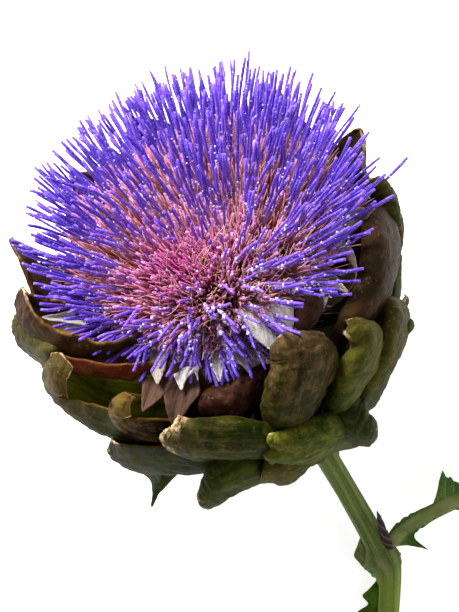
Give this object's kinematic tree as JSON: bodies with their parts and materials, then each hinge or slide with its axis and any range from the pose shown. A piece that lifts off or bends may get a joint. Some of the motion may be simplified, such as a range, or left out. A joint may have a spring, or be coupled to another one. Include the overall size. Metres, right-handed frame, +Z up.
{
  "type": "globe artichoke in bloom",
  "caption": "Globe artichoke in full bloom, lying as picked: violet florets in a cup of fleshy green and bronze bracts, on a cut ribbed stem with a lobed leaf.",
  "frame": {"origin": "on the surface it lies on, under the middle of the bounding box of the whole plant", "axes": "+Z up; the stem leaves the head towards -Y and the open flower leans towards +Y; the leaf reaches towards +X"},
  "size_m": [0.1622, 0.1885, 0.1321],
  "materials": {
    "pale_bract": "papery cream-white innermost bracts with faint pink veins",
    "inner_bract": "matt pinkish brown with fine lengthwise veins",
    "rim_bract": "leathery olive brown to red brown, slightly waxy",
    "green_bract": "fleshy grey-green with bronze mottling, waxy, with horny cream tips",
    "florets": "soft violet threads with pale pollen and tan hairs below",
    "stem": "ribbed green with a fine pale down",
    "leaf": "matt green with a paler midrib",
    "bud": "matt dark purple"
  },
  "bodies": {
    "root": {"pale_1": "pale_bract", "pale_2": "pale_bract", "pale_3": "pale_bract", "pale_4": "pale_bract", "pale_5": "pale_bract", "pale_6": "pale_bract", "pale_7": "pale_bract", "inner_bract_1": "inner_bract", "inner_bract_2": "inner_bract", "inner_bract_3": "inner_bract", "inner_bract_4": "inner_bract", "inner_bract_5": "inner_bract", "inner_bract_6": "inner_bract", "inner_bract_7": "inner_bract", "inner_bract_8": "inner_bract", "rim_bract_1": "rim_bract", "rim_bract_2": "rim_bract", "rim_bract_3": "rim_bract", "rim_bract_4": "rim_bract", "rim_bract_5": "rim_bract", "rim_bract_6": "rim_bract", "rim_bract_7": "rim_bract", "rim_bract_8": "rim_bract", "rim_bract_9": "rim_bract", "middle_bract_1": "green_bract", "middle_bract_2": "green_bract", "middle_bract_3": "green_bract", "middle_bract_4": "green_bract", "middle_bract_5": "green_bract", "middle_bract_6": "green_bract", "middle_bract_7": "green_bract", "middle_bract_8": "green_bract", "middle_bract_9": "green_bract", "middle_bract_10": "green_bract", "middle_bract_11": "green_bract", "outer_bract_1": "green_bract", "outer_bract_2": "green_bract", "outer_bract_3": "green_bract", "outer_bract_4": "green_bract", "outer_bract_5": "green_bract", "outer_bract_6": "green_bract", "outer_bract_7": "green_bract", "outer_bract_8": "green_bract", "base_bract_1": "green_bract", "base_bract_2": "green_bract", "base_bract_3": "green_bract", "base_bract_4": "green_bract", "base_bract_5": "green_bract", "base_bract_6": "green_bract", "foot_bract_1": "green_bract", "foot_bract_2": "green_bract", "florets": "florets", "stem": "stem", "leaf": "leaf", "head_leaf": "leaf", "stem_leaf_1": "leaf", "stem_leaf_2": "leaf", "bud": "bud"}
  },
  "joints": []
}
